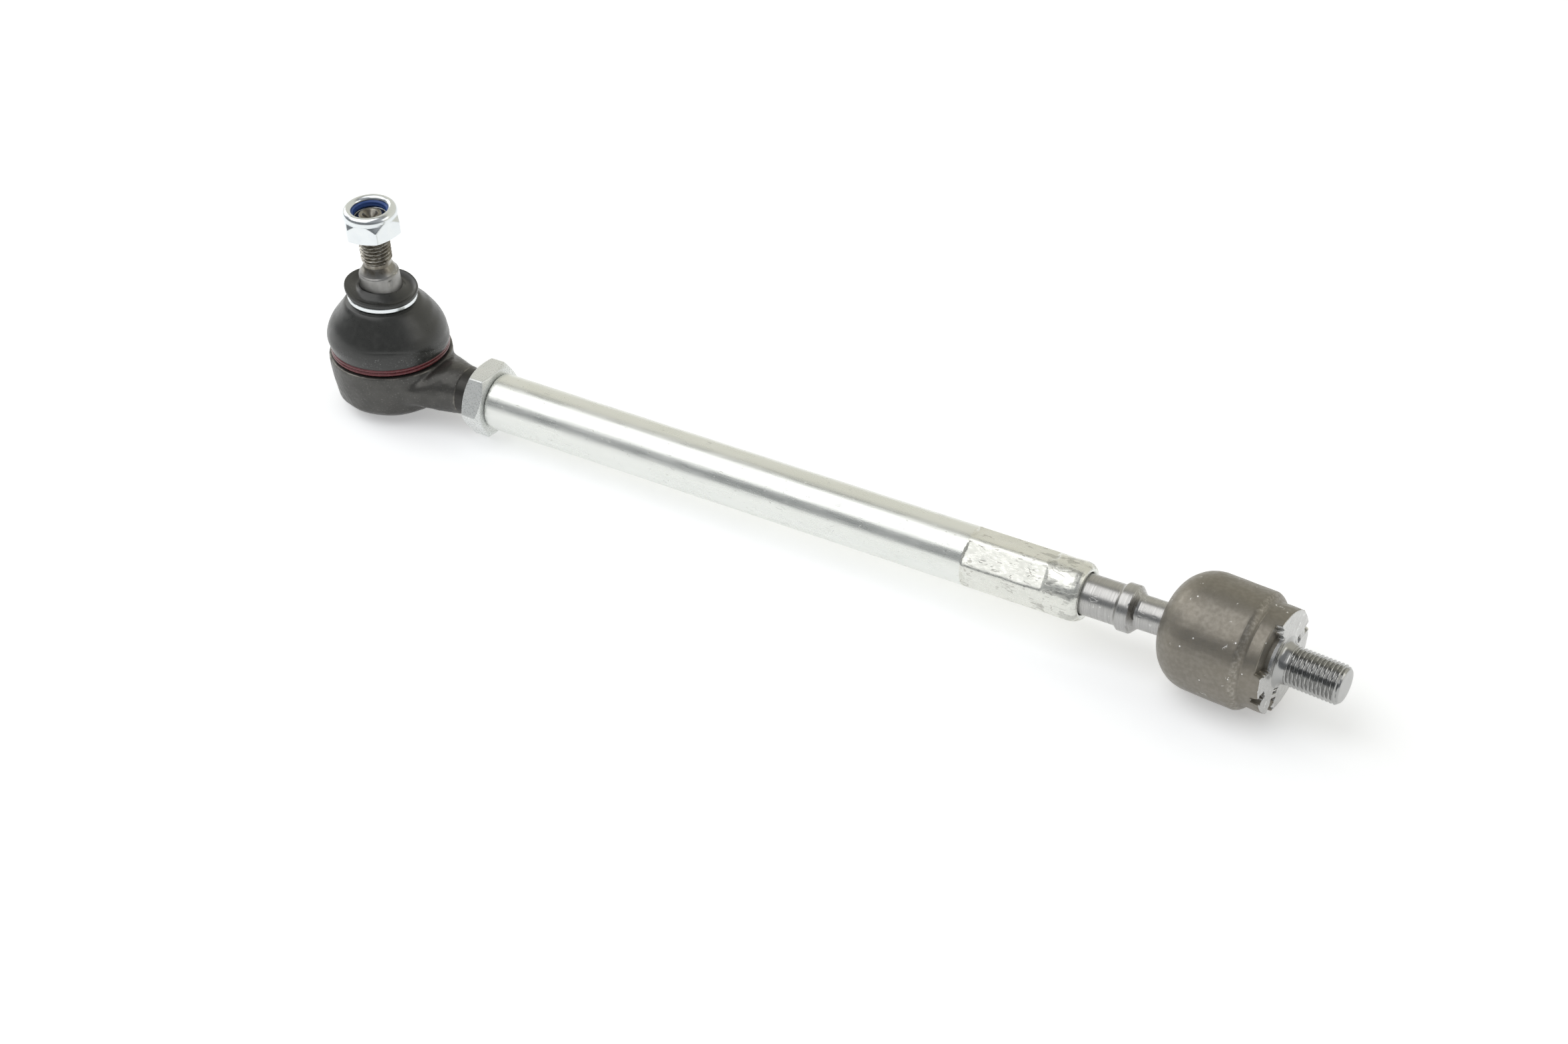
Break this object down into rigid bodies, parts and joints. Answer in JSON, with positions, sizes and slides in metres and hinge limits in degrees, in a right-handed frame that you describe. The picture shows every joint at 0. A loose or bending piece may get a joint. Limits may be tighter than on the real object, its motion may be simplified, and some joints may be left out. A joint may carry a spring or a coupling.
{
  "type": "tie rod end assembly",
  "caption": "Steering tie rod with an outer ball joint and stud, a lock nut, an adjuster tube with wrench flats, and an inner axial ball joint with a threaded end.",
  "frame": {"origin": "centre of the outer face of the closing plate under the outer ball joint", "axes": "+X along the rod from the outer joint to the inner joint, +Z along the outer housing's axis towards the stud"},
  "size_m": [0.3523, 0.0402, 0.0794],
  "materials": {
    "forged_black": "satin",
    "forged_brown": "satin",
    "zinc_plate": "polished",
    "bare_steel": "satin",
    "turned_steel": "brushed",
    "boot_rubber": "satin",
    "bearing_plastic": "matte",
    "blue_nylon": "satin",
    "red_ring": "gloss"
  },
  "bodies": {
    "housing": {"outer_housing": "forged_black", "closing_plate": "zinc_plate", "preload_spring": "bare_steel", "thrust_pad": "bearing_plastic", "bearing_shell": "bearing_plastic", "boot_base_ring": "red_ring"},
    "boot_base": {"dust_boot": "boot_rubber"},
    "boot_top": {"boot_neck_ring": "zinc_plate"},
    "stud": {"ball_stud": "bare_steel"},
    "insert": {"nylon_insert": "blue_nylon"},
    "nut": {"nyloc_nut": "zinc_plate"},
    "rod": {"inner_rod": "turned_steel"},
    "tube": {"adjuster_tube": "zinc_plate"},
    "jam": {"lock_nut": "zinc_plate"},
    "inner_pad": {"inner_thrust_pad": "bearing_plastic"},
    "inner_seat": {"inner_bearing_shell": "bearing_plastic", "inner_preload_washer": "bare_steel"},
    "inner_end": {"inner_housing": "forged_brown"}
  },
  "joints": [
    {"name": "outer_swing", "type": "hinge", "parent": "housing", "child": "boot_base", "pos_m": [0, 0, 0.0145], "axis": [0, 0, 1], "continuous": true},
    {"name": "outer_tilt", "type": "hinge", "parent": "boot_base", "child": "boot_top", "pos_m": [0, 0, 0.0145], "axis": [1, 0, 0], "range_deg": [-29, 21], "deforming": ["dust_boot"]},
    {"name": "outer_spin", "type": "hinge", "parent": "boot_top", "child": "stud", "pos_m": [0, 0, 0.0145], "axis": [0, -0.0698, 0.9976], "continuous": true},
    {"name": "nut_travel", "type": "slide", "parent": "stud", "child": "insert", "axis": [0, -0.0698, 0.9976], "range_m": [-0.01, 0.0025]},
    {"name": "nut_turn", "type": "hinge", "parent": "insert", "child": "nut", "pos_m": [0, 0, 0.0145], "axis": [0, -0.0698, 0.9976], "range_deg": [-2880, 720]},
    {"name": "tube_travel", "type": "slide", "parent": "housing", "child": "rod", "axis": [1, 0, 0], "range_m": [0, 0.015]},
    {"name": "tube_turn", "type": "hinge", "parent": "rod", "child": "tube", "pos_m": [0.1, 0, 0.012], "axis": [1, 0, 0], "range_deg": [0, 3600]},
    {"name": "lock_turn", "type": "hinge", "parent": "rod", "child": "jam", "pos_m": [0.039, 0, 0.012], "axis": [1, 0, 0], "range_deg": [0, 3600]},
    {"name": "inner_swing", "type": "hinge", "parent": "rod", "child": "inner_pad", "pos_m": [0.296, 0, 0.012], "axis": [1, 0, 0], "continuous": true},
    {"name": "inner_tilt", "type": "hinge", "parent": "inner_pad", "child": "inner_seat", "pos_m": [0.296, 0, 0.012], "axis": [0, 0.1873, -0.9823], "range_deg": [-19, 10.5]},
    {"name": "inner_spin", "type": "hinge", "parent": "inner_seat", "child": "inner_end", "pos_m": [0.296, 0, 0.012], "axis": [0.9972, -0.0732, -0.014], "continuous": true}
  ],
  "couplings": [
    {"joint": "nut_travel", "follows": "nut_turn", "m_per_rad": 0.00019894},
    {"joint": "tube_travel", "follows": "tube_turn", "m_per_rad": 0.00023873},
    {"joint": "lock_turn", "follows": "tube_turn", "ratio": 1}
  ]
}
